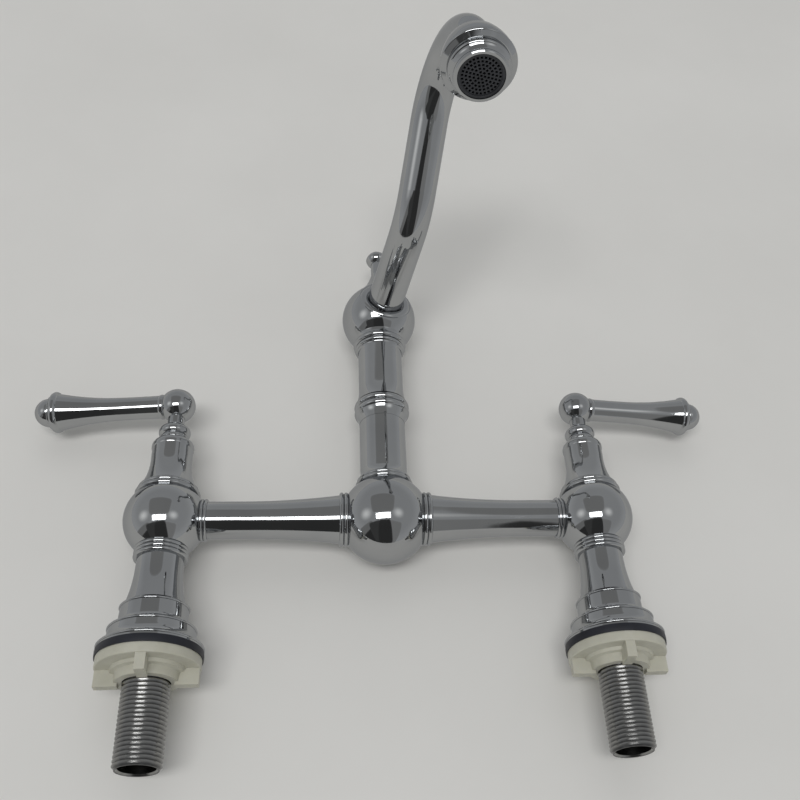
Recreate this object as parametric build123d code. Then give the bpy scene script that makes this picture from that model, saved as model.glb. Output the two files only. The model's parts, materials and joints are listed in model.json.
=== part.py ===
"""Bridge kitchen faucet: two turned pillars with lever valves, a bridge between them and a
column that carries a swivelling gooseneck spout.

Frame: millimetres, +Z up, X along the bridge, the spout reaches towards -Y.
The origin lies on the deck face (underside of the gaskets), midway between the two shanks.
"""
import os
from math import cos, hypot, pi, radians, sin, sqrt

from build123d import *

os.makedirs("parts", exist_ok=True)

# ---------------------------------------------------------------- driving dimensions (mm, degrees)
# whole faucet
leg_spacing = 203.2          # between the two tap holes: eight inches
bridge_height = 66.8         # axis of the bridge above the deck

# clearances
screw_gap = 0.1              # radial, between pieces that are screwed or soldered together
turn_fit = 0.08              # radial, shaft in its bearing
turn_gap = 0.3               # between faces that move past each other
slide_fit = 0.1              # radial, backnut on its shank
disc_gap = 0.1               # axial, between faces that turn on each other

# threaded shank, half-inch pipe thread
shank_r = 9.9                # over the crests, which are blunt
shank_bore_r = 7.6
shank_drop = 45.0            # below the deck face
thread_pitch = 1.814
thread_depth = 1.0
thread_crest = 0.4           # width of the flat on each crest
thread_root = 0.27
shank_chamfer = 0.8

# deck gasket
gasket_r = 22.45
gasket_t = 3.4
gasket_hole_gap = 0.3
gasket_edge_bow = 0.15

# backnut
nut_disc_r = 21.9
nut_disc_t = 4.3
nut_edge = 0.5               # rounding of the disc's lower rim
nut_edge_bow = 0.1
nut_step_r = 15.4            # shallow step between the disc and the hub
nut_step_h = 1.9
nut_step_slope = 0.4
nut_hub_r = 13.2
nut_hub_h = 5.6              # below the disc
nut_wing_count = 4
nut_wing_t = 4.2
nut_wing_r = 21.4
nut_wing_h = 7.0             # below the disc

# pillar
flange_r = 22.2
flange_edge_h = 1.4
flange_rise = 4.8
lower_step_r = 18.5
lower_step_h = 3.0
step_rise = 3.4
upper_step_r = 14.6
upper_step_h = 6.8
step_flare = 0.35            # each step is this much wider at its foot
step_round = 0.8
step_round_bow = 0.25
flange_hollow = 0.9          # how far the flange's slope is drawn in
step_hollow = 0.6
cove_hollow = 0.7
pillar_foot_r = 13.1         # where the long cove starts above the upper step
pillar_neck_r = 10.45
pillar_neck_h = 2.4
pillar_bead_r = 12.1
pillar_bead_h = 1.9
pillar_bead_count = 3
pillar_bore_r = 6.6
pillar_socket_h = 16.4       # how far the shank screws in
pillar_spigot_r = 8.0

# valve ball
valve_ball_r = 18.65
valve_top_seat_r = 14.3
valve_bottom_seat_r = 11.6
valve_side_seat_r = 9.3
valve_shelf_drop = 6.0       # seat of the cartridge below the bridge axis
valve_shelf_t = 3.0
valve_port_r = 5.0
valve_chamber_r = 12.0

# quarter-turn cartridge
cartridge_thread_r = 10.3
cartridge_thread_h = 7.0
cartridge_cage_r = 9.2
cartridge_cage_bore_r = 8.3
cartridge_lip_t = 0.8
cartridge_seal_t = 1.5
cartridge_seal_margin = 0.3  # from the port and from the cage's rim
cartridge_lip_gap = 0.6      # the cage's lip stands back from the port
hex_chamfer_room = 2.0       # wall left round the stem under the hexagon
cartridge_hex = 20.0         # across flats
cartridge_hex_h = 3.0
cartridge_barrel_r = 7.7
cartridge_barrel_h = 17.0    # above the hexagon
cartridge_window = 7.0
disc_r = 7.9
disc_t = 2.2
disc_hole_r = 2.0
disc_hole_offset = 4.2
stem_r = 3.9
stem_flange_r = 7.5
stem_flange_t = 2.8
stem_ring_t = 1.04           # section of the stem's sealing ring

# bonnet
bonnet_h = 30.2
bonnet_foot_r = 15.0
bonnet_foot_h = 2.5
bonnet_second_r = 14.1
bonnet_second_h = 2.1
bonnet_waist_r = 9.65
bonnet_waist_h = 21.0        # height of the end of the cone above the seat
bonnet_hollow = 1.0          # how far the cone is drawn in
bonnet_cone_inset = 1.3      # the cone starts this far inside the second bead
bonnet_cone_lift = 0.4
bonnet_cap_h = 4.4           # foot of the cap below the top
bonnet_cap_edge_h = 3.3
bonnet_cap_bow = 0.5
bonnet_cap_foot_bow = 0.1
bonnet_taper_h = 7.5         # inside, from the hexagon's room to the barrel's
bonnet_cap_r = 9.95
bonnet_top_r = 8.6
bonnet_wall = 3.0
bonnet_stem_gap = 0.4

# handle
hub_h = 22.1                 # from its lower face to the centre of the ball
hub_bead_r = 6.1             # foot of the hub's beads
hub_lower_bow = 0.9
hub_lower_h = 3.3
hub_upper_h = 5.2
hub_upper_inset = 0.5
hub_upper_bow = 1.75
hub_neck_rise = 2.2          # from the upper bead to the thinnest part of the neck
hub_neck_hollow = 0.5
hub_neck_r = 4.05
hub_ball_r = 8.65
stem_grip_h = 7.8            # stem inside the hub
handle_screw_r = 1.6
handle_screw_share = 0.36    # its height within the upper bead
handle_screw_recess = 0.1
handle_screw_socket = 1.2    # depth of its socket
lever_back_angle = 6.0       # closed levers point this far behind the bridge
lever_root_r = 6.15
lever_root_inset = 0.35      # the lever's root is this much smaller than its seat
lever_root_h = 2.6
lever_root_bow = 0.4
lever_waist_r = 5.75
lever_waist_at = 27.0        # all lever stations are measured from the centre of the ball
lever_flare_r = 9.2
lever_flare_at = 57.4
lever_flare_hollow = 0.85
lever_waist_hollow = 0.1
lever_ring_r = 10.25
lever_ring_h = 3.6
lever_ring_bulge = 1.1
lever_step_r = 8.4
lever_step_h = 1.2
lever_tip_r = 7.1
lever_tip_at = 62.9
lever_spigot_r = 3.0
lever_spigot_h = 5.0

# bridge arms
arm_end_r = 8.75
arm_wide_r = 11.4
arm_straight = 14.0          # even stretch beside the valve ball
arm_hollow = 0.75            # how far the trumpet is drawn in
arm_bore_r = 4.6
arm_spigot_r = 6.5
arm_inner_spigot_h = 7.0     # inside the tee
arm_outer_spigot_h = 4.6     # inside the valve ball
outer_collar_r = 9.95
outer_collar_h = 3.2
inner_collar_r = 12.7
inner_collar_h = 4.2
arm_ring_t = 1.6             # section of the arms' sealing rings

# centre tee
tee_ball_r = 21.3
tee_top_seat_r = 13.2
tee_side_seat_r = 12.2
tee_chamber_r = 9.3
tee_chamber_drop = 8.0       # floor of the chamber below the bridge axis

# column
column_r = 11.45
base_ring_r = 13.9
base_ring_h = 2.2
base_second_r = 13.2
base_second_h = 1.9
base_flare_h = 4.6
base_flare_r = 12.45
flare_hollow = 0.35          # of the flares on the base ring and the swivel collar
lower_column_h = 28.0        # plain tube between the base ring and the swivel collar
lower_spigot_r = 9.2
lower_spigot_h = 9.0
lower_bore_r = 7.0
swivel_r = 7.92              # outside of the swivel insert
swivel_bore_r = 5.5
swivel_depth = 21.0          # insert below the lower column's top face
swivel_flange_r = 10.7
swivel_flange_t = 1.7
swivel_thread_r = 10.85
swivel_thread_h = 6.4
bearing_t = 1.0
bearing_r = 9.5
swivel_ring_t = 1.6
swivel_ring_shares = (0.75, 0.35)    # depth of its sealing rings, of the insert's depth
collar_r = 13.85
collar_bead_h = 3.5
collar_flare_h = 5.2
collar_flare_r = 12.9
collar_edge = 0.1            # thickness of the collar's feather edge on the column
collar_lip_t = 2.8
stop_angle = 80.0            # the spout turns this far to either side of straight ahead
stop_width = 10.0            # of the stop lug, degrees
stop_depth = 1.0
stop_gap = 1.5               # degrees, between the lug and the slot's ends at full turn

# upper column
upper_flare_h = 9.0
upper_flare_hollow = 0.4
upper_column_h = 33.1        # from the swivel collar to the top ring
upper_bore_r = 7.0
upper_socket_h = 12.0
top_ring_low_r = 13.0
top_ring_low_h = 2.2
top_ring_r = 13.9
top_ring_h = 3.1
top_ring_foot_h = 1.2
top_ring_neck_h = 2.4
top_ring_foot_r = 12.05
top_ring_foot_hollow = 0.15
top_ring_neck_inset = 0.3
top_ring_neck_hollow = 0.2
top_spigot_r = 9.2
top_spigot_h = 6.0

# spout ball and finial
spout_ball_r = 19.7
spout_bottom_seat_r = 13.1
spout_top_seat_share = 0.5635        # radius of the seat, of the ball's radius
spout_side_seat_share = 0.7208
spout_chamber_top = 3.5      # roof of the chamber above the ball's centre
finial_foot_inset = 0.2      # its foot is this much smaller than the ball's seat
finial_foot_h = 1.9
finial_neck_r = 3.5
finial_hollow = 0.8
finial_knob_bow = 0.5
finial_neck_from = 16.5      # above the ball's top seat
finial_neck_to = 24.6
finial_knob_r = 6.1
finial_knob_low = 3.7        # underside of the knob, up to its widest
finial_knob_high = 5.0       # dome of the knob
finial_screw_r = 2.4
finial_screw_h = 5.0

# spout
spout_azimuth = 12.7         # at rest, from straight ahead towards +X
spout_r = 9.37
spout_wall = 1.2
spout_rise_angle = 12.0      # of the first run
spout_first_run = 54.4       # from the centre of the ball
spout_first_bend = 40.0
spout_climb_angle = 47.1     # of the second run
spout_second_run = 34.9
spout_top_bend = 35.2
spout_pour_angle = 82.8      # of the last run, below the horizontal
spout_last_run = 27.7
spout_socket_h = 6.0         # tube inside the ball
spout_collar_inset = 0.6     # the collar is this much smaller than the ball's seat
spout_collar_rim_h = 0.4     # height of its inner rim
spout_collar_bow = 0.9
spout_collar_gap = 0.35

# outlet, measured back along the jet from its lower face
outlet_rim_r = 12.0
outlet_rim_h = 2.6
outlet_rim_edge = 0.4
outlet_rim_bow = 0.3
outlet_cove_h = 2.5          # smooth cove between the rim and the bead
outlet_cove_hollow = 0.25
outlet_bead_r = 14.0
outlet_bead_h = 2.5
outlet_lip_r = 14.6          # foot of the wide ring's front face
outlet_face_h = 1.6          # slope of that face
outlet_ring_r = 17.0
outlet_ring_h = 1.6
outlet_ring_bow = 0.55
outlet_band_r = 16.5
outlet_band_h = 1.6          # wide band behind the ring
outlet_shoulder_bow = 0.3
outlet_back_bow = 0.7
outlet_shoulder_h = 8.6
outlet_shoulder_r = 14.3
outlet_back_h = 5.0
outlet_back_r = 10.6
outlet_mouth_r = 10.5
outlet_mouth_h = 12.0
aerator_r = 10.4
aerator_h = 9.0
aerator_recess = 0.6
aerator_grid_r = 9.5
aerator_lip = 0.4            # the sleeve holds the grid by a lip this wide and thick
aerator_grid_t = 1.4
aerator_hole = 1.05
aerator_ring_step = 1.65
aerator_ring_count = 5
washer_t = 1.6

# ---------------------------------------------------------------- heights worked out from them


def flat_at(ball_radius, seat_radius):
    """Distance from a ball's centre to the flat that leaves a seat of the given radius."""
    return sqrt(ball_radius**2 - seat_radius**2)


leg_x = leg_spacing / 2
spout_top_seat_r = spout_ball_r * spout_top_seat_share
spout_side_seat_r = spout_ball_r * spout_side_seat_share
finial_foot_r = spout_top_seat_r - finial_foot_inset
spout_collar_r = spout_side_seat_r - spout_collar_inset
pillar_seat_z = bridge_height - flat_at(valve_ball_r, valve_bottom_seat_r)
valve_shelf_z = bridge_height - valve_shelf_drop
valve_top_z = bridge_height + flat_at(valve_ball_r, valve_top_seat_r)
valve_side_x = leg_x - flat_at(valve_ball_r, valve_side_seat_r)
bonnet_top_z = valve_top_z + bonnet_h
hub_z = bonnet_top_z + turn_gap
handle_z = hub_z + hub_h

tee_top_z = bridge_height + flat_at(tee_ball_r, tee_top_seat_r)
tee_side_x = flat_at(tee_ball_r, tee_side_seat_r)
base_top_z = tee_top_z + base_ring_h + base_second_h + base_flare_h
collar_z = base_top_z + lower_column_h
collar_top_z = collar_z + collar_flare_h + 2 * collar_bead_h
swivel_z = collar_z + swivel_thread_h
upper_z = collar_top_z + turn_gap
top_ring_z = upper_z + upper_column_h
top_ring_top_z = top_ring_z + top_ring_foot_h + top_ring_low_h + top_ring_h + top_ring_neck_h
spout_ball_z = top_ring_top_z + flat_at(spout_ball_r, spout_bottom_seat_r)
finial_z = spout_ball_z + flat_at(spout_ball_r, spout_top_seat_r)

# ---------------------------------------------------------------- tools for turned pieces


def turned(stations):
    """Solid of revolution about Z from a closed outline of (radius, height) stations.

    Stations run up the outside and down the inside. A third value bows the run that ends
    there by so many millimetres: outwards if positive, hollow if negative.
    """
    edges = []
    previous = stations[-1]
    for station in stations:
        (r0, z0), (r1, z1) = previous[:2], station[:2]
        start, end = (r0, 0, z0), (r1, 0, z1)
        length = hypot(r1 - r0, z1 - z0)
        if len(station) > 2:
            bow = station[2] / length
            middle = ((r0 + r1) / 2 + bow * (z1 - z0), 0, (z0 + z1) / 2 - bow * (r1 - r0))
            edges.append(ThreePointArc(start, middle, end))
        elif length > 1e-6:
            edges.append(Line(start, end))
        previous = station
    return revolve(make_face(edges), axis=Axis.Z)


def bead(radius, base, height, bulge=None):
    """Two stations of a round bead that stands on a groove one bulge below its crest."""
    bulge = height * 0.36 if bulge is None else bulge
    return [(radius - bulge, base), (radius - bulge, base + height, bulge)]


def ring(inner, outer, base, height):
    """Plain washer."""
    return turned([(inner, base), (outer, base), (outer, base + height), (inner, base + height)])


def o_ring(seat_radius, section, height):
    """Sealing ring whose outside just clears a bore of the given radius."""
    return Pos(0, 0, height) * Torus(seat_radius - section / 2, section / 2)


def groove(seat_radius, section, height):
    """Stations that sink a groove for a sealing ring into a shaft, going up."""
    floor = seat_radius - section - turn_fit
    half = section / 2 + turn_fit
    return [(seat_radius, height - half), (floor, height - half),
            (floor, height + half), (seat_radius, height + half)]


def rod(radius, base, height):
    """Plain round bar on the Z axis."""
    return Pos(0, 0, base + height / 2) * Cylinder(radius, height)


def seated_ball(radius, seats):
    """Ball about the origin with a flat for each (direction, seat radius)."""
    ball = Sphere(radius)
    for direction, seat_radius in seats:
        plane = Plane(origin=(0, 0, 0), z_dir=direction)
        flat = flat_at(radius, seat_radius)
        ball -= plane.location * Pos(0, 0, flat + radius / 2) * Box(2 * radius, 2 * radius, radius)
    return ball


outwards = Rot(0, -90, 0)    # turns the Z axis of a turned piece towards -X

# ---------------------------------------------------------------- one leg, about its own axis


def threaded_shank():
    """Threaded tail with ring-shaped threads and a bore through it."""
    top = gasket_t + pillar_socket_h
    mouth_r = shank_bore_r + shank_chamfer
    outside = [(shank_bore_r, shank_chamfer - shank_drop), (mouth_r, -shank_drop),
               (shank_r - thread_depth, -shank_drop)]
    first = -shank_drop + shank_chamfer
    turns = int((top - first) / thread_pitch)
    flank = (thread_pitch - thread_crest - thread_root) / 2
    for turn in range(turns):
        foot = first + turn * thread_pitch
        outside += [(shank_r - thread_depth, foot), (shank_r, foot + flank),
                    (shank_r, foot + flank + thread_crest),
                    (shank_r - thread_depth, foot + 2 * flank + thread_crest)]
    return turned(outside + [(shank_r - thread_depth, top), (shank_bore_r, top)])


def pillar():
    """Hollow pillar: stepped flange, long cove, beads and the spigot that enters the ball."""
    flange_top = gasket_t + flange_edge_h
    lower_foot = flange_top + flange_rise
    lower_top = lower_foot + lower_step_h
    upper_foot = lower_top + step_rise
    upper_top = upper_foot + upper_step_h
    beads_z = pillar_seat_z - pillar_bead_count * pillar_bead_h
    outside = [
        (shank_r + screw_gap, gasket_t), (flange_r, gasket_t), (flange_r, flange_top),
        (lower_step_r + step_flare, lower_foot, -flange_hollow), (lower_step_r, lower_top),
        (lower_step_r - step_round, lower_top + step_round, step_round_bow),
        (upper_step_r + step_flare, upper_foot, -step_hollow), (upper_step_r, upper_top),
        (upper_step_r - step_round, upper_top + step_round, step_round_bow),
        (pillar_foot_r, upper_top + 2 * step_round),
        (pillar_neck_r, beads_z - pillar_neck_h, -cove_hollow), (pillar_neck_r, beads_z)]
    for number in range(pillar_bead_count):
        outside += bead(pillar_bead_r, beads_z + number * pillar_bead_h, pillar_bead_h)
    spigot_top = valve_shelf_z - valve_shelf_t
    socket_top = gasket_t + pillar_socket_h
    return turned(outside + [
        (pillar_spigot_r, pillar_seat_z), (pillar_spigot_r, spigot_top),
        (pillar_bore_r, spigot_top), (pillar_bore_r, socket_top),
        (shank_r + screw_gap, socket_top)])


def deck_gasket():
    """Rubber washer between the flange and the deck."""
    inner = shank_r + gasket_hole_gap
    return turned([(inner, 0), (gasket_r, 0), (gasket_r, gasket_t, gasket_edge_bow), (inner, gasket_t)])


def backnut():
    """Plastic nut: a disc, a stepped hub and wings, with a plain bore for the shank."""
    bore = shank_r + slide_fit
    hub_z = -nut_disc_t - nut_hub_h
    step_z = -nut_disc_t - nut_step_h
    nut = turned([
        (bore, hub_z), (nut_hub_r, hub_z), (nut_hub_r + nut_step_slope, step_z),
        (nut_step_r, step_z + nut_step_slope, -nut_edge_bow),
        (nut_step_r + nut_step_slope, -nut_disc_t), (nut_disc_r - nut_edge, -nut_disc_t),
        (nut_disc_r, -nut_disc_t + nut_edge, nut_edge_bow), (nut_disc_r, 0), (bore, 0)])
    wing_start = (bore + nut_hub_r) / 2
    wing = Pos((wing_start + nut_wing_r) / 2, 0, -nut_disc_t - nut_wing_h / 2) * Box(
        nut_wing_r - wing_start, nut_wing_t, nut_wing_h)
    for number in range(nut_wing_count):
        nut += Rot(0, 0, number * 360 / nut_wing_count) * wing
    return nut


def valve_ball():
    """Hollow ball: pillar socket below, shelf, water chamber, tapped mouth and bridge port."""
    ball = Pos(0, 0, bridge_height) * seated_ball(valve_ball_r, [
        ((0, 0, 1), valve_top_seat_r), ((0, 0, -1), valve_bottom_seat_r),
        ((1, 0, 0), valve_side_seat_r)])
    shelf_bottom = valve_shelf_z - valve_shelf_t
    mouth_r = cartridge_thread_r + screw_gap
    mouth_z = valve_top_z - cartridge_thread_h
    ball -= turned([
        (0, pillar_seat_z - 1), (pillar_spigot_r + screw_gap, pillar_seat_z - 1),
        (pillar_spigot_r + screw_gap, shelf_bottom), (valve_port_r, shelf_bottom),
        (valve_port_r, valve_shelf_z), (valve_chamber_r, valve_shelf_z),
        (valve_chamber_r, mouth_z), (mouth_r, mouth_z), (mouth_r, valve_top_z + 1),
        (0, valve_top_z + 1)])
    port = Rot(0, 90, 0) * rod(arm_spigot_r + screw_gap, 0, 2 * valve_ball_r)
    return ball - Pos(0, 0, bridge_height) * port


def cartridge_seal():
    """Rubber seat ring under the cartridge."""
    return ring(valve_port_r + cartridge_seal_margin, cartridge_cage_r - cartridge_seal_margin,
                valve_shelf_z, cartridge_seal_t)


cage_z = valve_shelf_z + cartridge_seal_t
fixed_disc_z = cage_z + cartridge_lip_t
moving_disc_z = fixed_disc_z + disc_t + disc_gap
stem_z = moving_disc_z + disc_t
cage_roof_z = stem_z + stem_flange_t + disc_gap


def cartridge_body():
    """Brass cartridge: windowed cage, thread, hexagon and the barrel that guides the stem."""
    thread_z = valve_top_z - cartridge_thread_h
    hex_top = valve_top_z + cartridge_hex_h
    bore = stem_r + turn_fit
    lip_r = valve_port_r + cartridge_lip_gap
    body = turned([
        (lip_r, cage_z), (cartridge_cage_r, cage_z), (cartridge_cage_r, thread_z),
        (cartridge_thread_r, thread_z), (cartridge_thread_r, valve_top_z),
        (cartridge_barrel_r, valve_top_z), (cartridge_barrel_r, hex_top + cartridge_barrel_h),
        (bore, hex_top + cartridge_barrel_h), (bore, cage_roof_z),
        (cartridge_cage_bore_r, cage_roof_z), (cartridge_cage_bore_r, fixed_disc_z),
        (lip_r, fixed_disc_z)])
    hexagon = extrude(RegularPolygon(cartridge_hex / 2, 6, major_radius=False), cartridge_hex_h)
    body += Pos(0, 0, valve_top_z) * hexagon - rod(
        stem_r + hex_chamfer_room, valve_top_z, cartridge_hex_h)
    window = Box(3 * cartridge_cage_r, cartridge_window, disc_t)
    return body - Pos(0, 0, moving_disc_z + disc_t / 2) * window


def ceramic_disc(base, turn):
    """Ceramic disc with two ports."""
    disc = rod(disc_r, base, disc_t)
    for side in (-1, 1):
        disc -= Rot(0, 0, turn) * Pos(0, side * disc_hole_offset, 0) * rod(
            disc_hole_r, base, disc_t)
    return disc


stem_top_z = hub_z + stem_grip_h
stem_ring_z = valve_top_z + cartridge_hex_h + cartridge_barrel_h / 2


def stem():
    """Spindle: a flange that drives the moving disc and a shaft up into the handle."""
    return turned([
        (0, stem_z), (stem_flange_r, stem_z), (stem_flange_r, stem_z + stem_flange_t),
        (stem_r, stem_z + stem_flange_t), *groove(stem_r, stem_ring_t, stem_ring_z),
        (stem_r, stem_top_z), (0, stem_top_z)])


def bonnet():
    """Tapered cover over the cartridge with two foot beads and a rounded cap."""
    foot_z = valve_top_z
    second_z = foot_z + bonnet_foot_h
    cone_z = second_z + bonnet_second_h
    waist_z = foot_z + bonnet_waist_h
    inner = cartridge_barrel_r + screw_gap
    hex_room = cartridge_hex / 2 / cos(pi / 6) + turn_gap
    hex_top = foot_z + cartridge_hex_h + turn_gap
    hole = stem_r + bonnet_stem_gap
    return turned([
        (hex_room, foot_z), *bead(bonnet_foot_r, foot_z, bonnet_foot_h),
        *bead(bonnet_second_r, second_z, bonnet_second_h),
        (bonnet_second_r - bonnet_cone_inset, cone_z + bonnet_cone_lift),
        (bonnet_waist_r, waist_z, -bonnet_hollow),
        (bonnet_waist_r, bonnet_top_z - bonnet_cap_h),
        (bonnet_cap_r, bonnet_top_z - bonnet_cap_edge_h, bonnet_cap_foot_bow),
        (bonnet_top_r, bonnet_top_z, bonnet_cap_bow), (hole, bonnet_top_z),
        (hole, bonnet_top_z - bonnet_wall), (inner, bonnet_top_z - bonnet_wall),
        (inner, hex_top + bonnet_taper_h), (hex_room, hex_top)])


screw_z = hub_z + hub_lower_h + hub_upper_h * handle_screw_share


def handle_hub():
    """Turning base of the handle: two beads, a thin neck and a ball that takes the lever."""
    skirt_top = hub_z + hub_lower_h + hub_upper_h
    neck_top = handle_z - flat_at(hub_ball_r, hub_neck_r)
    hub = turned([
        (0, hub_z), (hub_bead_r, hub_z), (hub_bead_r, hub_z + hub_lower_h, hub_lower_bow),
        (hub_bead_r - hub_upper_inset, skirt_top, hub_upper_bow),
        (hub_neck_r, skirt_top + hub_neck_rise, -hub_neck_hollow),
        (hub_neck_r, neck_top + 1), (0, neck_top + 1)])
    ball = seated_ball(hub_ball_r, [((-1, 0, 0), lever_root_r)])
    socket_floor = lever_seat() - lever_spigot_h - turn_gap
    ball -= outwards * rod(lever_spigot_r + screw_gap, socket_floor, 2 * hub_ball_r)
    hub += Pos(0, 0, handle_z) * Rot(0, 0, -lever_back_angle) * ball
    hub -= rod(stem_r + screw_gap, hub_z, stem_grip_h + turn_gap)
    screw_hole = rod(handle_screw_r + screw_gap, 0, 2 * hub_bead_r)
    return hub - Pos(0, 0, screw_z) * Rot(-90, 0, 0) * screw_hole


def handle_screw():
    """Grub screw in the back of the hub that grips the stem."""
    screw = rod(handle_screw_r, stem_r + screw_gap, hub_bead_r - stem_r - screw_gap - handle_screw_recess)
    socket = rod(handle_screw_r / 2, hub_bead_r - handle_screw_socket, handle_screw_socket)
    return Pos(0, 0, screw_z) * Rot(-90, 0, 0) * (screw - socket)


def lever_seat():
    """Distance from the centre of the hub's ball to the face that the lever sits on."""
    return flat_at(hub_ball_r, lever_root_r)


def lever():
    """Solid trumpet-shaped lever with a ring and a ball end."""
    seat = lever_seat()
    root_r = lever_root_r - lever_root_inset
    ring_top = lever_flare_at + lever_ring_h
    step_top = ring_top + lever_step_h
    tip_r = flat_at(lever_tip_r, step_top - lever_tip_at)
    bar = turned([
        (0, seat - lever_spigot_h), (lever_spigot_r, seat - lever_spigot_h),
        (lever_spigot_r, seat), (root_r, seat), (root_r, seat + lever_root_h, lever_root_bow),
        (lever_waist_r, lever_waist_at, -lever_waist_hollow),
        (lever_flare_r, lever_flare_at, -lever_flare_hollow),
        *bead(lever_ring_r, lever_flare_at, lever_ring_h, lever_ring_bulge),
        *bead(lever_step_r, ring_top, lever_step_h), (tip_r, step_top), (0, step_top)])
    bar += Pos(0, 0, lever_tip_at) * Sphere(lever_tip_r)
    return Pos(0, 0, handle_z) * Rot(0, 0, -lever_back_angle) * outwards * bar


# ---------------------------------------------------------------- bridge, along -X from the centre

inner_collar_x = tee_side_x + inner_collar_h
outer_collar_x = valve_side_x - outer_collar_h
arm_ring_x = [tee_side_x - arm_inner_spigot_h / 2, valve_side_x + arm_outer_spigot_h / 2]


def on_bridge(piece):
    """Lay a piece turned about Z along the left half of the bridge."""
    return Pos(0, 0, bridge_height) * outwards * piece


def bridge_arm():
    """Trumpet-shaped tube with a spigot and a ring groove at each end."""
    inner_end = tee_side_x - arm_inner_spigot_h
    outer_end = valve_side_x + arm_outer_spigot_h
    return on_bridge(turned([
        (arm_bore_r, inner_end), (arm_spigot_r, inner_end),
        *groove(arm_spigot_r, arm_ring_t, arm_ring_x[0]),
        (arm_spigot_r, inner_collar_x), (arm_wide_r, inner_collar_x),
        (arm_end_r, outer_collar_x - arm_straight, -arm_hollow), (arm_end_r, outer_collar_x),
        (arm_spigot_r, outer_collar_x), *groove(arm_spigot_r, arm_ring_t, arm_ring_x[1]),
        (arm_spigot_r, outer_end), (arm_bore_r, outer_end)]))


def arm_o_rings():
    """The two sealing rings of one arm."""
    return [on_bridge(o_ring(arm_spigot_r, arm_ring_t, at)) for at in arm_ring_x]


def inner_collar():
    """Two-bead collar against the tee."""
    half = inner_collar_h / 2
    bore = arm_spigot_r + screw_gap
    return on_bridge(turned([
        (bore, tee_side_x), *bead(inner_collar_r, tee_side_x, half),
        *bead(inner_collar_r, tee_side_x + half, half), (bore, inner_collar_x)]))


def outer_collar():
    """Two-bead collar against the valve ball."""
    half = outer_collar_h / 2
    bore = arm_spigot_r + screw_gap
    return on_bridge(turned([
        (bore, outer_collar_x), *bead(outer_collar_r, outer_collar_x, half),
        *bead(outer_collar_r, outer_collar_x + half, half), (bore, valve_side_x)]))


# ---------------------------------------------------------------- centre column, fixed part


def tee_ball():
    """Hollow centre ball: a port on each side and the column's socket on top."""
    ball = seated_ball(tee_ball_r, [
        ((0, 0, 1), tee_top_seat_r), ((1, 0, 0), tee_side_seat_r), ((-1, 0, 0), tee_side_seat_r)])
    ball -= rod(tee_chamber_r, -tee_chamber_drop, tee_ball_r + tee_chamber_drop)
    for turn in (90, -90):
        ball -= Rot(0, turn, 0) * rod(arm_spigot_r + screw_gap, 0, tee_ball_r)
    return Pos(0, 0, bridge_height) * ball


def column_base_ring():
    """Two beads and a flare between the tee and the lower column."""
    bore = lower_spigot_r + screw_gap
    second_z = tee_top_z + base_ring_h
    flare_z = second_z + base_second_h
    return turned([
        (bore, tee_top_z), *bead(base_ring_r, tee_top_z, base_ring_h),
        *bead(base_second_r, second_z, base_second_h), (base_flare_r, flare_z),
        (column_r, base_top_z, -flare_hollow), (bore, base_top_z)])


insert_bore_r = swivel_r + turn_fit


def lower_column():
    """Plain tube with a spigot below, the insert's bearing inside and a thread and lug on top."""
    column = turned([
        (lower_bore_r, tee_top_z - lower_spigot_h), (lower_spigot_r, tee_top_z - lower_spigot_h),
        (lower_spigot_r, base_top_z), (column_r, base_top_z), (column_r, collar_z),
        (swivel_thread_r, collar_z), (swivel_thread_r, swivel_z), (insert_bore_r, swivel_z),
        (insert_bore_r, swivel_z - swivel_depth - disc_gap),
        (lower_bore_r, swivel_z - swivel_depth - disc_gap)])
    lug_h = bearing_t + swivel_flange_t + 2 * disc_gap
    lug = ring(swivel_flange_r - stop_depth + turn_fit, swivel_thread_r, swivel_z - 1, lug_h + 1)
    return column + (lug & sector(stop_width, 90))


def sector(width, middle):
    """Tall wedge about the Z axis, of the given angular width about the given direction."""
    reach = 2 * column_r
    half = width / 2
    edge = [(reach * cos(radians(middle + turn)), reach * sin(radians(middle + turn)))
            for turn in (-half, half)]
    face = make_face(Polyline((0, 0), edge[0], edge[1], close=True))
    return Pos(0, 0, collar_z) * extrude(face, 3 * swivel_thread_h)


def swivel_collar():
    """Flared two-bead nut whose lip keeps the swivel insert down."""
    bore = swivel_thread_r + screw_gap
    beads_z = collar_z + collar_flare_h
    lip_z = collar_top_z - collar_lip_t
    lip_r = swivel_r + turn_gap
    return turned([
        (bore, collar_z), (column_r + collar_edge, collar_z),
        (collar_flare_r, beads_z, -flare_hollow),
        *bead(collar_r, beads_z, collar_bead_h),
        *bead(collar_r, beads_z + collar_bead_h, collar_bead_h),
        (lip_r, collar_top_z), (lip_r, lip_z), (bore, lip_z)])


def bearing_washer():
    """Slippery washer under the insert's flange."""
    return ring(insert_bore_r + turn_fit, bearing_r, swivel_z, bearing_t)


# ---------------------------------------------------------------- centre column, turning part

flange_z = swivel_z + bearing_t + disc_gap
insert_top_z = upper_z + upper_socket_h
swivel_ring_z = [swivel_z - swivel_depth * share for share in swivel_ring_shares]


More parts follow.
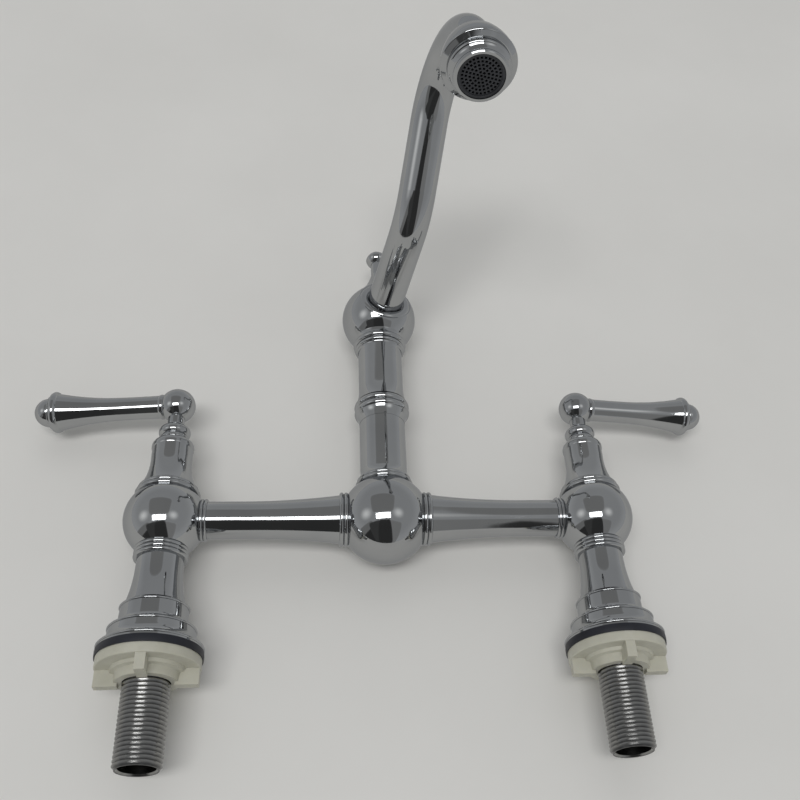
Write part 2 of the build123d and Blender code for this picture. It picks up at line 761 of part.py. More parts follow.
def swivel_insert():
    """Tube that turns inside the lower column, with a slotted flange for the stop lug."""
    insert = turned([
        (swivel_bore_r, swivel_z - swivel_depth), (swivel_r, swivel_z - swivel_depth),
        *groove(swivel_r, swivel_ring_t, swivel_ring_z[0]),
        *groove(swivel_r, swivel_ring_t, swivel_ring_z[1]),
        (swivel_r, flange_z), (swivel_flange_r, flange_z),
        (swivel_flange_r, flange_z + swivel_flange_t), (swivel_r, flange_z + swivel_flange_t),
        (swivel_r, insert_top_z), (swivel_bore_r, insert_top_z)])
    recess = ring(swivel_flange_r - stop_depth - turn_fit, swivel_flange_r + 1, flange_z - turn_gap,
                  swivel_flange_t + 2 * turn_gap)
    for share in (-0.5, 0, 0.5):
        middle = 90 + spout_azimuth + share * stop_angle * 4 / 3
        insert -= recess & sector(stop_angle * 2 / 3 + stop_width + 2 * stop_gap, middle)
    return insert


def swivel_o_rings():
    """The two sealing rings of the swivel insert."""
    return [o_ring(swivel_r, swivel_ring_t, at) for at in swivel_ring_z]


def upper_column():
    """Plain tube: flared foot, socket for the insert and the spigot that enters the ball."""
    spigot_top = top_ring_top_z + top_spigot_h
    return turned([
        (swivel_r + screw_gap, upper_z), (collar_flare_r, upper_z),
        (column_r, upper_z + upper_flare_h, -upper_flare_hollow), (column_r, top_ring_z),
        (top_spigot_r, top_ring_z), (top_spigot_r, spigot_top), (upper_bore_r, spigot_top),
        (upper_bore_r, insert_top_z), (swivel_r + screw_gap, insert_top_z)])


def column_top_ring():
    """Two beads between the upper column and the spout ball."""
    bore = top_spigot_r + screw_gap
    low_z = top_ring_z + top_ring_foot_h
    bead_z = low_z + top_ring_low_h
    neck_z = bead_z + top_ring_h
    return turned([
        (bore, top_ring_z), (column_r, top_ring_z), (top_ring_foot_r, low_z, -top_ring_foot_hollow),
        *bead(top_ring_low_r, low_z, top_ring_low_h), *bead(top_ring_r, bead_z, top_ring_h),
        (spout_bottom_seat_r - top_ring_neck_inset, neck_z),
        (spout_bottom_seat_r, top_ring_top_z, -top_ring_neck_hollow),
        (bore, top_ring_top_z)])


# ---------------------------------------------------------------- spout

spout_ball_centre = Pos(0, 0, spout_ball_z)
facing = Rot(0, 0, spout_azimuth - 90)          # +X of the spout's own plane points ahead
spout_exit = (cos(radians(spout_rise_angle)), 0, sin(radians(spout_rise_angle)))
exit_frame = Plane(origin=(0, 0, 0), z_dir=spout_exit)
spout_seat = flat_at(spout_ball_r, spout_side_seat_r)


def along_exit(piece):
    """Put a piece turned about Z on the axis where the tube leaves the ball."""
    return spout_ball_centre * facing * exit_frame.location * piece


def spout_ball():
    """Hollow ball: column socket below, tapped hole for the finial, socket for the tube."""
    ball = seated_ball(spout_ball_r, [
        ((0, 0, -1), spout_bottom_seat_r), ((0, 0, 1), spout_top_seat_r),
        (spout_exit, spout_side_seat_r)])
    socket = exit_frame.location * rod(spout_r + screw_gap, spout_seat - spout_socket_h,
                                       2 * spout_ball_r)
    ball -= socket
    ball -= exit_frame.location * rod(spout_r - spout_wall, 0, spout_ball_r)
    ball -= rod(finial_screw_r + screw_gap, flat_at(spout_ball_r, spout_top_seat_r)
                - finial_screw_h - turn_gap, spout_ball_r)
    ball -= rod(top_spigot_r + screw_gap, -spout_ball_r, spout_ball_r + spout_chamber_top)
    return spout_ball_centre * facing * ball


def finial():
    """Turned finial on top of the ball, held by its own screw."""
    brim_z = finial_neck_to + finial_knob_low
    dome_r = (finial_knob_r**2 + finial_knob_high**2) / (2 * finial_knob_high)
    dome_chord = hypot(finial_knob_r, finial_knob_high)
    dome_bow = dome_r - sqrt(dome_r**2 - dome_chord**2 / 4)
    return Pos(0, 0, finial_z) * turned([
        (0, -finial_screw_h), (finial_screw_r, -finial_screw_h), (finial_screw_r, 0),
        *bead(finial_foot_r, 0, finial_foot_h), (finial_neck_r, finial_neck_from, -finial_hollow),
        (finial_neck_r, finial_neck_to), (finial_knob_r, brim_z, finial_knob_bow),
        (0, brim_z + finial_knob_high, dome_bow)])


def spout_collar():
    """Low domed ring round the tube where it leaves the ball."""
    bore = spout_r + spout_collar_gap
    return along_exit(turned([
        (bore, spout_seat), (spout_collar_r, spout_seat),
        (bore, spout_seat + spout_collar_rim_h, spout_collar_bow)]))


def heading(angle):
    """Unit vector in the spout's plane, the angle measured up from straight ahead."""
    return Vector(cos(radians(angle)), 0, sin(radians(angle)))


def bend_points(start, from_angle, to_angle, radius):
    """Middle and end point of a bend in the spout's plane."""
    turn = 1 if to_angle > from_angle else -1
    centre = start + heading(from_angle + 90 * turn) * radius
    return [centre + heading(angle - 90 * turn) * radius
            for angle in ((from_angle + to_angle) / 2, to_angle)]


def spout_runs():
    """Corner points of the centreline, about the centre of the spout ball."""
    start = heading(spout_rise_angle) * (spout_seat - spout_socket_h)
    first_end = heading(spout_rise_angle) * spout_first_run
    bend_middle, bend_end = bend_points(
        first_end, spout_rise_angle, spout_climb_angle, spout_first_bend)
    climb_end = bend_end + heading(spout_climb_angle) * spout_second_run
    top_middle, top_end = bend_points(
        climb_end, spout_climb_angle, -spout_pour_angle, spout_top_bend)
    outlet = top_end + heading(-spout_pour_angle) * spout_last_run
    return start, first_end, bend_middle, bend_end, climb_end, top_middle, top_end, outlet


def spout_tube():
    """Bent tube swept along the centreline, ending inside the outlet."""
    start, first_end, bend_middle, bend_end, climb_end, top_middle, top_end, outlet = spout_runs()
    tube_end = outlet - heading(-spout_pour_angle) * (outlet_mouth_h + washer_t)
    centreline = Wire([
        Edge.make_line(start, first_end),
        Edge.make_three_point_arc(first_end, bend_middle, bend_end),
        Edge.make_line(bend_end, climb_end),
        Edge.make_three_point_arc(climb_end, top_middle, top_end),
        Edge.make_line(top_end, tube_end)])
    mouth = Plane(origin=start, z_dir=spout_exit)
    section = mouth.location * (Circle(spout_r) - Circle(spout_r - spout_wall))
    return spout_ball_centre * facing * sweep(section, path=centreline)


def at_outlet(piece):
    """Put a piece turned about Z on the jet's axis, its heights running back up the jet."""
    frame = Plane(origin=spout_runs()[-1], x_dir=(0, 1, 0), z_dir=-heading(-spout_pour_angle))
    return spout_ball_centre * facing * frame.location * piece


def outlet_bell():
    """Turned outlet: rim, cove, bead, a wide ring and a shoulder that takes the tube."""
    bead_z = outlet_rim_h + outlet_cove_h
    face_z = bead_z + outlet_bead_h
    ring_z = face_z + outlet_face_h
    band_z = ring_z + outlet_ring_h
    ring_foot_r = outlet_ring_r - outlet_ring_bow
    bead_stations = bead(outlet_bead_r, bead_z, outlet_bead_h)
    shoulder_z = band_z + outlet_band_h
    back_z = shoulder_z + outlet_shoulder_h
    end_z = back_z + outlet_back_h
    tube_bore = spout_r + screw_gap
    stop_z = outlet_mouth_h + washer_t
    water_r = spout_r - spout_wall
    return at_outlet(turned([
        (outlet_mouth_r, 0), (outlet_rim_r - outlet_rim_edge, 0), (outlet_rim_r, outlet_rim_edge),
        (outlet_rim_r - outlet_rim_bow, outlet_rim_h, outlet_rim_bow),
        (bead_stations[0][0], bead_z, -outlet_cove_hollow), *bead_stations[1:],
        (outlet_lip_r, face_z), (ring_foot_r, ring_z), (ring_foot_r, band_z, outlet_ring_bow),
        (outlet_band_r, shoulder_z), (outlet_shoulder_r, back_z, outlet_shoulder_bow),
        (outlet_back_r, end_z, outlet_back_bow), (tube_bore, end_z),
        (tube_bore, stop_z), (water_r, stop_z), (water_r, outlet_mouth_h),
        (outlet_mouth_r, outlet_mouth_h)]))


def aerator_housing():
    """Plastic sleeve that screws into the outlet and carries the grid."""
    base = aerator_recess
    inner = aerator_grid_r + screw_gap
    return at_outlet(turned([
        (inner - aerator_lip, base), (aerator_r, base), (aerator_r, base + aerator_h),
        (inner, base + aerator_h), (inner, base + aerator_lip), (inner - aerator_lip, base + aerator_lip)]))


def aerator_grid():
    """Plastic disc with rings of small square holes."""
    grid = rod(aerator_grid_r, aerator_recess + aerator_lip, aerator_grid_t)
    holes = [Box(aerator_hole, aerator_hole, 4 * aerator_grid_t)]
    for number in range(1, aerator_ring_count + 1):
        count = 6 * number
        for turn in range(count):
            spot = Pos(number * aerator_ring_step, 0, 0)
            holes.append(Rot(0, 0, turn * 360 / count) * spot * holes[0])
    return at_outlet(grid - holes)


def aerator_washer():
    """Rubber washer between the sleeve and the outlet's shoulder."""
    base = aerator_recess + aerator_h
    return at_outlet(ring(spout_r - spout_wall, aerator_r, base, outlet_mouth_h - base))


# ---------------------------------------------------------------- write the pieces

left_pieces = {
    "threaded_shank": Pos(-leg_x) * threaded_shank(),
    "pillar": Pos(-leg_x) * pillar(),
    "deck_gasket": Pos(-leg_x) * deck_gasket(),
    "backnut": Pos(-leg_x) * backnut(),
    "valve_ball": Pos(-leg_x) * valve_ball(),
    "cartridge_seal": Pos(-leg_x) * cartridge_seal(),
    "cartridge_body": Pos(-leg_x) * cartridge_body(),
    "fixed_disc": Pos(-leg_x) * ceramic_disc(fixed_disc_z, 0),
    "moving_disc": Pos(-leg_x) * ceramic_disc(moving_disc_z, 90),
    "stem": Pos(-leg_x) * stem(),
    "stem_o_ring": Pos(-leg_x) * o_ring(stem_r, stem_ring_t, stem_ring_z),
    "bonnet": Pos(-leg_x) * bonnet(),
    "handle_hub": Pos(-leg_x) * handle_hub(),
    "handle_screw": Pos(-leg_x) * handle_screw(),
    "lever": Pos(-leg_x) * lever(),
    "bridge_arm": bridge_arm(),
    "arm_o_rings": Compound(children=arm_o_rings()),
    "inner_collar": inner_collar(),
    "outer_collar": outer_collar(),
}

centre_pieces = {
    "tee_ball": tee_ball(),
    "column_base_ring": column_base_ring(),
    "lower_column": lower_column(),
    "swivel_collar": swivel_collar(),
    "bearing_washer": bearing_washer(),
    "swivel_insert": swivel_insert(),
    "swivel_o_rings": Compound(children=swivel_o_rings()),
    "upper_column": upper_column(),
    "column_top_ring": column_top_ring(),
    "spout_ball": spout_ball(),
    "finial": finial(),
    "spout_collar": spout_collar(),
    "spout_tube": spout_tube(),
    "outlet_bell": outlet_bell(),
    "aerator_housing": aerator_housing(),
    "aerator_grid": aerator_grid(),
    "aerator_washer": aerator_washer(),
}

for name, piece in left_pieces.items():
    export_step(piece, f"parts/left_{name}.step")
    export_step(mirror(piece, about=Plane.YZ), f"parts/right_{name}.step")
for name, piece in centre_pieces.items():
    export_step(piece, f"parts/{name}.step")
print("handle axis height", round(handle_z, 2), "spout ball height", round(spout_ball_z, 2))
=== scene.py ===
"""Looks for the bridge faucet: finishes, fine beads, a pale surface, lights and camera.

Metres, in the CAD model's own frame: +Z up, X along the bridge, the spout towards -Y.
"""
import json
from math import cos, pi, radians, sin

import bpy
from mathutils import Euler, Matrix, Vector


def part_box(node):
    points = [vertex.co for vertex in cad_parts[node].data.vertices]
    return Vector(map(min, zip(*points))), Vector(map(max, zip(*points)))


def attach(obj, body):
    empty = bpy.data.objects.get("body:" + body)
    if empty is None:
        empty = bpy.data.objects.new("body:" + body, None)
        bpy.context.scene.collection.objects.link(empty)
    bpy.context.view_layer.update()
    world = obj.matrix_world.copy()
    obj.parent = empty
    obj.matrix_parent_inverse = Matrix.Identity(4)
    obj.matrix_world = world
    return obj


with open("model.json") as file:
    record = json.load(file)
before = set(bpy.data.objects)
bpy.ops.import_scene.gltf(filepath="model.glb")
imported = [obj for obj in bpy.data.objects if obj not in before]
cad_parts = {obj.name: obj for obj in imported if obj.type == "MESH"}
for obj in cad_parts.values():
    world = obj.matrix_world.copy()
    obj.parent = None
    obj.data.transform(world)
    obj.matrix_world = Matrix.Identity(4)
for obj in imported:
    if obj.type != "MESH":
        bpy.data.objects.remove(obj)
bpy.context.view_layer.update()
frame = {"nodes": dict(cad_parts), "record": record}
scene = bpy.context.scene

# ---------------------------------------------------------------- measures
tail_low, tail_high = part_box("right_threaded_shank")
HALF_SPACING = (tail_low[0] + tail_high[0]) / 2    # from the middle of the bridge to each leg
CREST_R = tail_high[1]       # over the tails' threads
ROOT_R = 0.0089              # between the threads
BORE_SIDE_R = 0.0083         # closer to the axis than this lies the smooth bore
TEE_HEIGHT = 0.0668          # centre of the bridge
CENTRE = Vector((0.0, 0.0, TEE_HEIGHT))

FLANGE_Z = 0.0048            # top of the flange's rim
STEP_BEADS = {               # radius and height of each fine bead on a pillar
    "flange": (0.02205, FLANGE_Z),
    "lower_step": (0.01842, FLANGE_Z + 0.0078),
    "upper_step": (0.01452, FLANGE_Z + 0.0180),
}
BEAD_WIRE_R = 0.00055        # half a bead's thickness
BEAD_STEPS = 144             # around the leg
WIRE_STEPS = 14              # around the wire

GROUND_Y = 0.0228            # the pale surface, just clear of the gaskets' backs
GROUND_REACH = 2.2           # from the middle to each edge
ROOM = 8.0                   # distance of the lamps and the nearest cards from the bridge

NOISE_LOW, NOISE_HIGH = 0.3, 0.7      # nearly all of a noise lies between these
CORNERS = ((-1, -1), (1, -1), (1, 1), (-1, 1))


# ---------------------------------------------------------------- node helpers
VECTOR_A, VECTOR_B, VECTOR_RESULT = 4, 5, 1    # sockets of a Mix node that mixes vectors


class Tree:
    """Short calls that add nodes to the node tree of a material or the world."""

    def __init__(self, owner):
        owner.use_nodes = True
        self.tree = owner.node_tree

    def feed(self, node, socket, value):
        """Set a socket to a constant, or link another node's output to it."""
        if isinstance(value, bpy.types.NodeSocket):
            self.tree.links.new(value, node.inputs[socket])
        else:
            node.inputs[socket].default_value = value

    def put(self, node, **inputs):
        """Feed inputs that are named as the node's sockets are, with _ for a space."""
        for name, value in inputs.items():
            self.feed(node, name.replace("_", " "), value)
        return node

    def add(self, kind, **inputs):
        return self.put(self.tree.nodes.new(kind), **inputs)

    def place(self):
        """Position in the object's own metres, which on the faucet are the model's."""
        return self.add("ShaderNodeTexCoord").outputs["Object"]

    def stretched(self, x, y, z):
        """Position times a factor along each axis; a small one draws a pattern out."""
        node = self.add("ShaderNodeMapping", Vector=self.place(), Scale=(x, y, z))
        return node.outputs["Vector"]

    def split(self, vector):
        """The outputs X, Y and Z of a vector."""
        return self.add("ShaderNodeSeparateXYZ", Vector=vector).outputs

    def noise(self, scale, detail=3.0, roughness=0.5, vector=None):
        vector = self.place() if vector is None else vector
        node = self.add("ShaderNodeTexNoise", Vector=vector, Scale=scale, Detail=detail,
                        Roughness=roughness)
        return node.outputs["Fac"]

    def spread(self, value, given, wanted, smooth=False):
        """Carry one range over to another, held at both ends."""
        node = self.add("ShaderNodeMapRange", Value=value, From_Min=given[0], From_Max=given[1],
                        To_Min=wanted[0], To_Max=wanted[1])
        node.interpolation_type = "SMOOTHSTEP" if smooth else "LINEAR"
        return node.outputs["Result"]

    def math(self, operation, first, second=0.0):
        node = self.add("ShaderNodeMath")
        node.operation = operation
        self.feed(node, 0, first)
        self.feed(node, 1, second)
        return node.outputs["Value"]

    def unit(self, vector):
        """The vector at unit length."""
        node = self.add("ShaderNodeVectorMath")
        node.operation = "NORMALIZE"
        self.feed(node, 0, vector)
        return node.outputs["Vector"]

    def mixed(self, share, first, second):
        """The first number, with a share of the second."""
        return self.add("ShaderNodeMix", Factor=share, A=first, B=second).outputs["Result"]

    def mixed_vectors(self, share, first, second):
        """The first vector, with a share of the second."""
        node = self.add("ShaderNodeMix", Factor=share)
        node.data_type = "VECTOR"
        self.feed(node, VECTOR_A, first)
        self.feed(node, VECTOR_B, second)
        return node.outputs[VECTOR_RESULT]

    def mixed_shaders(self, share, first, second):
        """The first shader, with a share of the second."""
        node = self.add("ShaderNodeMixShader", Fac=share)
        self.feed(node, 1, first)
        self.feed(node, 2, second)
        return node.outputs["Shader"]

    def ramp(self, value, *stops):
        """A colour ramp whose stops are pairs of position and colour."""
        node = self.add("ShaderNodeValToRGB", Fac=value)
        bands = node.color_ramp.elements
        while len(bands) < len(stops):
            bands.new(0.5)
        for band, (position, colour) in zip(bands, stops):
            band.position = position
            band.color = (*colour, 1.0)
        return node.outputs["Color"]

    def glow(self, colour, strength):
        return self.add("ShaderNodeEmission", Color=colour, Strength=strength).outputs["Emission"]

    def clear(self):
        return self.add("ShaderNodeBsdfTransparent").outputs["BSDF"]


class Material(Tree):
    """A new material and its principled shader."""

    def __init__(self, name):
        self.material = bpy.data.materials.new(name)
        super().__init__(self.material)
        self.shader = self.tree.nodes["Principled BSDF"]

    def set(self, **inputs):
        self.put(self.shader, **inputs)

    def bump(self, height, strength, depth, normal=None):
        """Fine relief, its depth in metres."""
        node = self.add("ShaderNodeBump", Height=height, Strength=strength, Distance=depth)
        if normal is not None:
            self.feed(node, "Normal", normal)
        self.set(Normal=node.outputs["Normal"])

    def show(self, shader):
        """Let another shader take the principled one's place."""
        self.feed(self.tree.nodes["Material Output"], "Surface", shader)


# ---------------------------------------------------------------- materials
def chrome():
    """Bright plating: faint waviness, a breath of haze and a few fine wipe marks."""
    m = Material("polished_chrome")
    dark, light = (0.440, 0.450, 0.460), (0.490, 0.500, 0.505)
    haze = m.noise(scale=38.0, detail=4.0)
    wipes = m.noise(scale=900.0, detail=2.0, vector=m.stretched(1.0, 0.12, 0.35))
    hazy = m.spread(haze, given=(0.35, 0.75), wanted=(0.035, 0.085))
    wiped = m.spread(wipes, given=(0.62, 0.80), wanted=(0.0, 0.05))
    m.set(Metallic=1.0, Specular_Tint=(0.70, 0.71, 0.73, 1.0),
          Base_Color=m.ramp(haze, (0.30, dark), (0.72, light)),
          Roughness=m.math("ADD", hazy, wiped))
    m.bump(m.noise(scale=55.0, detail=2.0), strength=0.10, depth=0.00025)
    return m.material


def tail_metal():
    """Cut thread, unpolished: worn crests, painted shade in the roots, a bright bore and light
    pitting.
    """
    m = Material("tail_metal")
    # the root colour is painted shade in the thread roots; the crest colour is the worn metal
    root_shade, flank, crest = (0.10, 0.10, 0.10), (0.20, 0.20, 0.197), (0.33, 0.33, 0.322)
    wear_and_shade_share = 0.62          # of the tone from crest wear and painted root shade; the rest is the mottle
    wear = 0.62                  # share by which worn normals lean outwards
    end_face = 0.97              # a normal's upright share from which the face is an end face

    place = m.split(m.place())
    off_axis = m.math("SUBTRACT", m.math("ABSOLUTE", place["X"]), HALF_SPACING)
    radius = m.math("SQRT", m.math("ADD", m.math("POWER", off_axis, 2.0),
                                   m.math("POWER", place["Y"], 2.0)))
    # painted shade darkens points towards the thread root and wear lightens the crests; the bore
    # keeps the crest tone
    crest_wear_root_shade = m.math("MAXIMUM", m.spread(radius, given=(ROOT_R, CREST_R), wanted=(0.0, 1.0)),
                    m.math("LESS_THAN", radius, BORE_SIDE_R))
    mottle = m.noise(scale=420.0, detail=4.0, roughness=0.6)
    tone = m.mixed(wear_and_shade_share, mottle, crest_wear_root_shade)
    # the ramp's dark end is the painted shade of the thread roots
    m.set(Metallic=1.0, Base_Color=m.ramp(tone, (0.15, root_shade), (0.45, flank), (0.85, crest)),
          Roughness=m.spread(tone, given=(0.2, 0.9), wanted=(0.30, 0.16)))

    # the flanks are worn round: their normals lean towards the tail's own radius
    outward = m.add("ShaderNodeCombineXYZ", Y=place["Y"],
                    X=m.math("MULTIPLY", off_axis, m.math("SIGN", place["X"]))).outputs["Vector"]
    facing = m.add("ShaderNodeNewGeometry").outputs["Normal"]
    upright = m.math("ABSOLUTE", m.split(facing)["Z"])
    worn = m.math("MULTIPLY", m.math("GREATER_THAN", radius, BORE_SIDE_R),
                  m.math("LESS_THAN", upright, end_face))
    leaning = m.mixed_vectors(m.math("MULTIPLY", worn, wear), facing, m.unit(outward))
    m.bump(m.noise(scale=1600.0), strength=0.35, depth=0.00006, normal=m.unit(leaning))
    return m.material


def moulded(name, dark, light, roughness, grain, depth=0.00004, scatter=0.0):
    """Moulded plastic, rubber or ceramic: soft blotches, a fine grain and uneven gloss."""
    m = Material(name)
    blotches = m.noise(scale=90.0, detail=4.0, roughness=0.55)
    m.set(Base_Color=m.ramp(blotches, (NOISE_LOW, dark), (NOISE_HIGH, light)),
          Roughness=m.spread(m.noise(scale=240.0), given=(NOISE_LOW, NOISE_HIGH),
                             wanted=(roughness - 0.06, roughness + 0.07)))
    if scatter:
        m.set(Subsurface_Weight=scatter, Subsurface_Radius=(0.0022, 0.0020, 0.0014),
              Subsurface_Scale=1.0)
    m.bump(m.noise(scale=grain, roughness=0.6), strength=0.3, depth=depth)
    return m.material


def turned_metal(name, dark, light, roughness):
    """Turned metal with fine lathe marks round an upright axis."""
    m = Material(name)
    marks = m.noise(scale=2600.0, detail=1.0, vector=m.stretched(0.02, 0.02, 1.0))
    blotches = m.noise(scale=150.0)
    m.set(Metallic=1.0, Base_Color=m.ramp(blotches, (NOISE_LOW, dark), (NOISE_HIGH, light)),
          Roughness=m.spread(marks, given=(NOISE_LOW, NOISE_HIGH),
                             wanted=(roughness - 0.05, roughness + 0.08)))
    m.bump(marks, strength=0.25, depth=0.00002)
    return m.material


FINISHES = {
    "chrome": chrome(),
    "tail_metal": tail_metal(),
    "nut_plastic": moulded("ivory_plastic", dark=(0.48, 0.47, 0.39), light=(0.56, 0.55, 0.465),
                           roughness=0.46, grain=900.0, scatter=0.15),
    "rubber": moulded("gasket_rubber", dark=(0.006, 0.007, 0.012), light=(0.014, 0.016, 0.025),
                      roughness=0.50, grain=1400.0),
    "seal_rubber": moulded("seal_rubber", dark=(0.012, 0.012, 0.012), light=(0.028, 0.028, 0.028),
                           roughness=0.42, grain=1500.0),
    "valve_brass": turned_metal("valve_brass", dark=(0.55, 0.40, 0.17), light=(0.68, 0.52, 0.25),
                                roughness=0.28),
    "ceramic": moulded("lapped_ceramic", dark=(0.76, 0.74, 0.70), light=(0.84, 0.83, 0.80),
                       roughness=0.22, grain=700.0, depth=0.00001),
    "bearing_plastic": moulded("bearing_plastic", dark=(0.74, 0.74, 0.72),
                               light=(0.82, 0.82, 0.80), roughness=0.38, grain=800.0),
    "aerator_plastic": moulded("aerator_plastic", dark=(0.017, 0.018, 0.022),
                               light=(0.032, 0.034, 0.040), roughness=0.42, grain=1300.0),
    "screw_steel": turned_metal("screw_steel", dark=(0.38, 0.38, 0.39), light=(0.52, 0.52, 0.53),
                                roughness=0.30),
}

for row in frame["record"]["subparts"]:
    slots = frame["nodes"][row["node"]].data.materials
    slots.clear()
    slots.append(FINISHES[row["material_slot"]])


# ---------------------------------------------------------------- fine beads
def mesh_object(name, points, faces, material):
    """A new object in the scene, made of the points and faces."""
    mesh = bpy.data.meshes.new(name)
    mesh.from_pydata(points, [], faces)
    mesh.materials.append(material)
    made = bpy.data.objects.new(name, mesh)
    scene.collection.objects.link(made)
    return made


def bead(name, x, radius, height):
    """A fine chrome ring about a leg's axis, half sunk into the pillar's step."""
    def index(i, j):
        return i % BEAD_STEPS * WIRE_STEPS + j % WIRE_STEPS

    points, faces = [], []
    for i in range(BEAD_STEPS):
        for j in range(WIRE_STEPS):
            turn, wire_turn = 2 * pi * i / BEAD_STEPS, 2 * pi * j / WIRE_STEPS
            reach = radius + BEAD_WIRE_R * cos(wire_turn)
            points.append((x + reach * cos(turn), reach * sin(turn),
                           height + BEAD_WIRE_R * sin(wire_turn)))
            faces.append((index(i, j), index(i + 1, j), index(i + 1, j + 1), index(i, j + 1)))
    ring = mesh_object(name, points, faces, FINISHES["chrome"])
    ring.data.shade_smooth()
    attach(ring, "base")


for side, x in (("left", -HALF_SPACING), ("right", HALF_SPACING)):
    for place, (radius, height) in STEP_BEADS.items():
        bead(f"{side}_{place}_bead", x, radius, height)


# ---------------------------------------------------------------- ground
def plane(name, corners, material):
    """One flat quad that isn't part of the faucet."""
    quad = mesh_object(name, corners, [(0, 1, 2, 3)], material)
    return quad


def ground_material():
    """Pale matt surface, seen from the front only, so that the back views stay open.

    Plated parts mostly mirror it as a plain lit surface, and partly with the faucet's shadow.
    """
    m = Material("pale_ground")
    dark, light = (0.745, 0.735, 0.705), (0.785, 0.775, 0.745)
    plain_strength = 0.585       # how brightly the plain lit surface glows
    plain_share = 0.65           # how much of it is in what the plating mirrors

    blotches = m.noise(scale=6.0, detail=5.0, roughness=0.6)
    colour = m.ramp(blotches, (NOISE_LOW, dark), (NOISE_HIGH, light))
    m.set(Base_Color=colour, Roughness=0.62, Specular_IOR_Level=0.25)
    mirrored = m.add("ShaderNodeLightPath").outputs["Is Glossy Ray"]
    front = m.mixed_shaders(m.math("MULTIPLY", mirrored, plain_share), m.shader.outputs["BSDF"],
                            m.glow(colour, plain_strength))
    behind = m.add("ShaderNodeNewGeometry").outputs["Backfacing"]
    m.show(m.mixed_shaders(behind, front, m.clear()))
    return m.material


plane("ground", [(x * GROUND_REACH, GROUND_Y, z * GROUND_REACH) for x, z in CORNERS],
      ground_material())


# ---------------------------------------------------------------- room
def facing(azimuth, elevation, distance):
    """Matrix of what faces the bridge; azimuth is 0 towards -Y and 90 towards +X, in degrees."""
    a, e = radians(azimuth), radians(elevation)
    away = Vector((sin(a) * cos(e), -cos(a) * cos(e), sin(e)))
    return Matrix.LocRotScale(CENTRE + away * distance, away.to_track_quat("Z", "Y"), None)


def card(name, azimuth, elevation, distance, width, height, strength, fade=0.10, corner=8.0):
    """A card that only glossy surfaces show: it lights nothing and the camera can't see it.

    Its light fades out over the outer share, fade; corner 2 makes it round and 8 nearly
    rectangular.
    """
    m = Material(name)
    place = m.split(m.place())
    across, along = (
        m.math("POWER", m.math("ABSOLUTE", m.math("MULTIPLY", place[axis], 2.0 / size)), corner)
        for axis, size in (("X", width), ("Y", height)))
    from_middle = m.math("POWER", m.math("ADD", across, along), 1.0 / corner)
    lit = m.spread(from_middle, given=(1.0 - fade, 1.0), wanted=(1.0, 0.0), smooth=True)
    m.show(m.mixed_shaders(lit, m.clear(), m.glow((1.0, 1.0, 0.99, 1.0), strength)))
    quad = plane(name, [(x * width / 2, y * height / 2, 0.0) for x, y in CORNERS], m.material)
    quad.matrix_world = facing(azimuth, elevation, distance)
    quad.visible_camera = False
    quad.visible_diffuse = False
    quad.visible_shadow = False


def lamp(name, azimuth, elevation, distance, width, height, power, reflected=True):
    """A soft rectangular lamp that the camera can't see."""
    data = bpy.data.lights.new(name, "AREA")
    data.shape = "RECTANGLE"
    data.size = width
    data.size_y = height
    data.energy = power
    made = bpy.data.objects.new(name, data)
    scene.collection.objects.link(made)
    made.matrix_world = facing(azimuth, elevation, distance)
    made.visible_camera = False
    made.visible_glossy = reflected
    return made


def world_light():
    """Light from all sides, a little brighter just above the pale surface than further out.

    The camera sees it about as pale as that surface.
    """
    far_out, at_surface = -0.45, 0.0      # Y of the direction, which has unit length
    dim, bright, seen = 0.355, 0.43, 0.54
    world = bpy.data.worlds.new("room")
    sky = Tree(world)
    towards = sky.split(sky.add("ShaderNodeTexCoord").outputs["Generated"])["Y"]
    strength = sky.spread(towards, given=(far_out, at_surface), wanted=(dim, bright), smooth=True)
    to_camera = sky.add("ShaderNodeLightPath").outputs["Is Camera Ray"]
    sky.put(sky.tree.nodes["Background"], Color=(0.97, 0.985, 1.0, 1.0),
            Strength=sky.mixed(to_camera, strength, seen))
    scene.world = world


world_light()

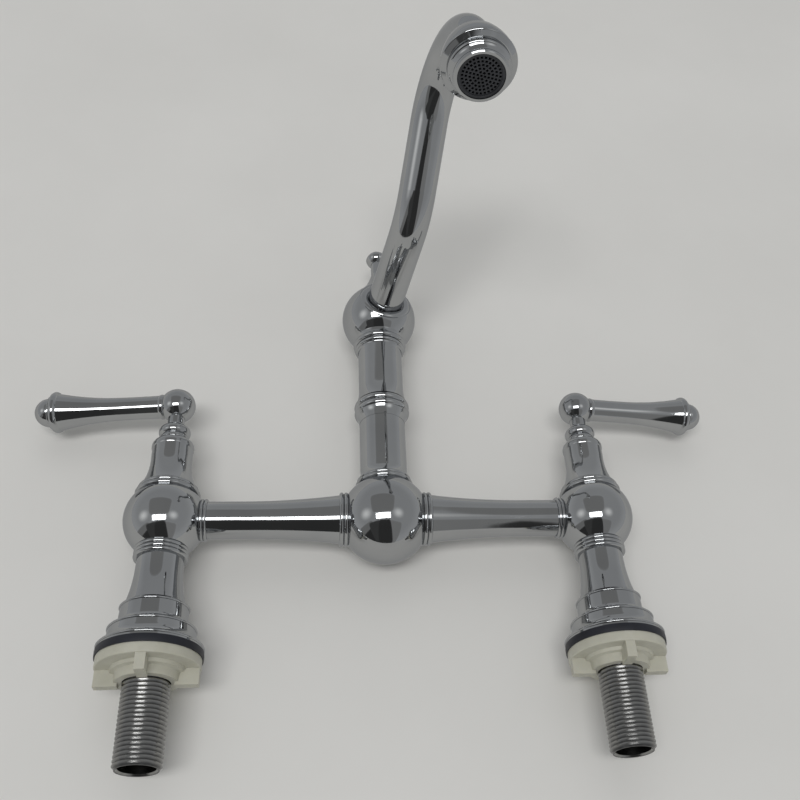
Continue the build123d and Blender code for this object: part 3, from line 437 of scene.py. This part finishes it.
# the room in front of the faucet: a wide lamp, the ceiling above it, two softer lamps beside it
# and the dark floor below
LAMP_SIDE = (-8.5, -18.0)    # azimuth and elevation of the wide lamp
CARDS = {                    # azimuth, elevation, distance, width, height and strength of each
    "dark_floor": (-5.0, -61.0, ROOM, 4.9, 10.8, 0.040),
    "dark_floor_left": (-36.0, -57.0, 1.1 * ROOM, 5.5, 9.8, 0.060),
    "dark_corner": (-70.0, -63.0, 1.2 * ROOM, 12.0, 7.8, 0.037),
    "grey_left": (-68.0, -37.0, 1.3 * ROOM, 9.4, 4.0, 0.208),
    "grey_right": (26.0, -58.0, 1.1 * ROOM, 6.4, 9.4, 0.257),
    "dim_ceiling": (-9.0, 16.0, ROOM, 8.6, 7.6, 0.235),
}
SOFT_LAMPS = {               # the same of each round card
    "soft_lamp_left": (-52.0, -5.0, ROOM, 5.6, 5.0, 0.85),
    "soft_lamp_right": (30.0, -9.0, ROOM, 5.2, 4.6, 0.85),
}

ceiling_lamp = lamp("ceiling_lamp", *LAMP_SIDE, ROOM, width=5.2, height=1.9, power=238.0)
lamp("top_light", azimuth=0.0, elevation=40.0, distance=ROOM, width=6.0, height=6.0, power=45.0,
     reflected=False)
for name, row in CARDS.items():
    card(name, *row)
for name, row in SOFT_LAMPS.items():
    card(name, *row, fade=1.0, corner=2.0)

# the spout's underside doesn't see the wide lamp, but the dark wall that it hangs on
card("dark_wall", *LAMP_SIDE, 1.04 * ROOM, width=5.0, height=2.2, strength=0.053)
shaded = bpy.data.collections.new("shaded_from_lamp")
shaded.objects.link(frame["nodes"]["spout_tube"])
ceiling_lamp.light_linking.receiver_collection = shaded
shaded.collection_objects[0].light_linking.link_state = "EXCLUDE"

# ---------------------------------------------------------------- camera
EYE = Vector((-0.028968, -0.411916, -0.157769))
TILT, ROLL, TURN = 125.3198, 3.8033, -6.1586    # degrees about X, Y and Z; 90 looks level
FOCAL_PX = 981.70
FRAME_PX = 800.0
MIDDLE_PX = 449.0            # where the camera's axis meets the picture, from its left edge
SENSOR_MM = 36.0

lens = bpy.data.cameras.new("photo_camera")
lens.sensor_width = SENSOR_MM
lens.lens = FOCAL_PX / FRAME_PX * SENSOR_MM
lens.shift_x = (FRAME_PX / 2 - MIDDLE_PX) / FRAME_PX
lens.clip_start = 0.01
camera = bpy.data.objects.new("photo_camera", lens)
scene.collection.objects.link(camera)
aim = Euler([radians(angle) for angle in (TILT, ROLL, TURN)])
camera.matrix_world = Matrix.LocRotScale(EYE, aim, None)
scene.camera = camera
scene.view_settings.view_transform = "Standard"
